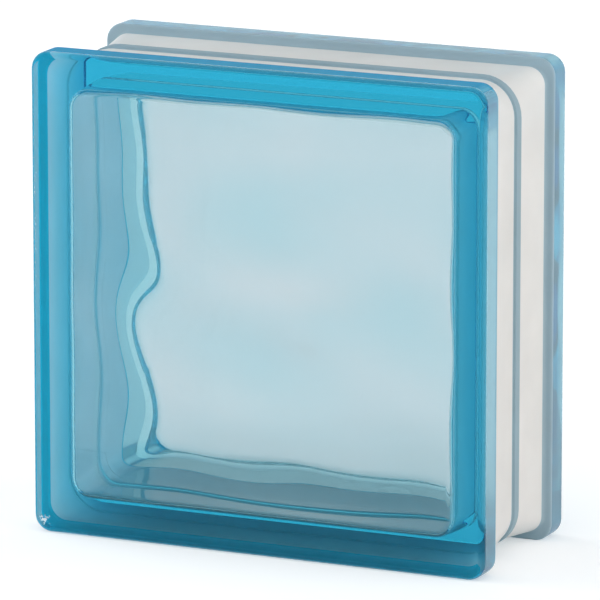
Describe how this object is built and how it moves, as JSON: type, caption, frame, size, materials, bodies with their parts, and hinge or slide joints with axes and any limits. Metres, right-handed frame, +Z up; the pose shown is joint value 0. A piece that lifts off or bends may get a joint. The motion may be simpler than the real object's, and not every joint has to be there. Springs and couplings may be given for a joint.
{
  "type": "glass block",
  "caption": "Square hollow glass building block with waved inner faces, flanged edges and a coated mortar channel, for walls that let light through.",
  "frame": {"origin": "middle of the underside, between the two bottom flange edges", "axes": "+Z up, -Y out of the front face, X along the width"},
  "size_m": [0.19, 0.08, 0.19],
  "materials": {
    "tinted_glass": "pressed soda-lime glass, blue tint, smooth outside, with a white coat in the mortar channel"
  },
  "bodies": {
    "root": {"glass_block": "tinted_glass"}
  },
  "joints": []
}
